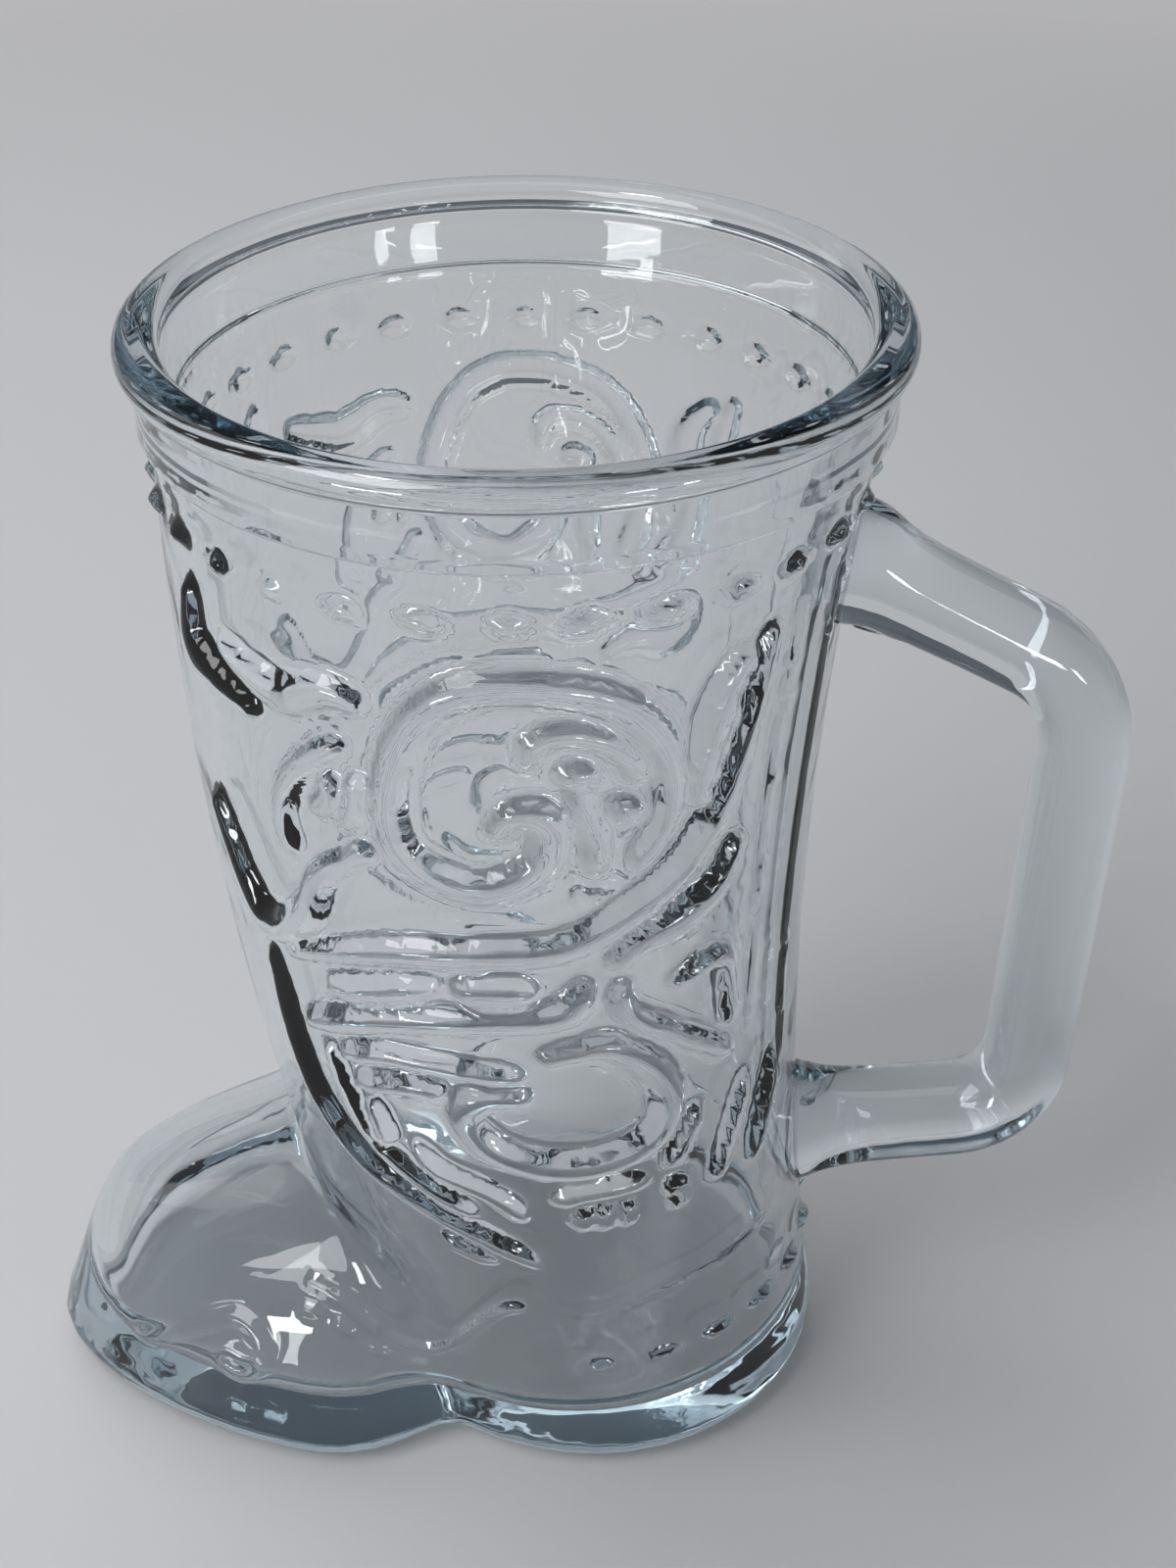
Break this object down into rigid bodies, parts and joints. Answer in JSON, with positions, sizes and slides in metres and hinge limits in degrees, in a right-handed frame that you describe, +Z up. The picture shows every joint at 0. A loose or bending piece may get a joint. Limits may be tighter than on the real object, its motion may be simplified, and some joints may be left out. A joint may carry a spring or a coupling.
{
  "type": "boot-shaped drinking glass",
  "caption": "Clear pressed-glass drinking mug in the shape of a western boot, with a rolled rim, a bent side handle, a foot with sole and heel, and raised scroll ornament.",
  "frame": {"origin": "on the floor plane of the flat heel, straight below the middle of the mouth", "axes": "+Z up, -X along the toe, +X towards the handle, the XZ plane is the plane of symmetry"},
  "size_m": [0.1445, 0.09, 0.155],
  "materials": {
    "clear_glass": "clear pressed glass with a faint blue-grey cast, fire-polished",
    "relief_glass": "the same glass, raised and soft-edged"
  },
  "bodies": {
    "root": {"rim_bead": "clear_glass", "collar": "clear_glass", "shaft": "clear_glass", "vamp": "clear_glass", "counter": "clear_glass", "sole": "clear_glass", "heel": "clear_glass", "handle": "clear_glass", "upper_handle_root": "clear_glass", "lower_handle_root": "clear_glass", "rim_stitches": "relief_glass", "heel_stitches": "relief_glass", "left_scrolls": "relief_glass", "right_scrolls": "relief_glass", "left_curls": "relief_glass", "right_curls": "relief_glass", "left_leaves": "relief_glass", "right_leaves": "relief_glass", "left_straps": "relief_glass", "right_straps": "relief_glass", "left_yoke": "relief_glass", "right_yoke": "relief_glass", "left_spur": "relief_glass", "right_spur": "relief_glass", "left_back_seam": "relief_glass", "right_back_seam": "relief_glass", "left_counter_seam": "relief_glass", "right_counter_seam": "relief_glass"}
  },
  "joints": []
}
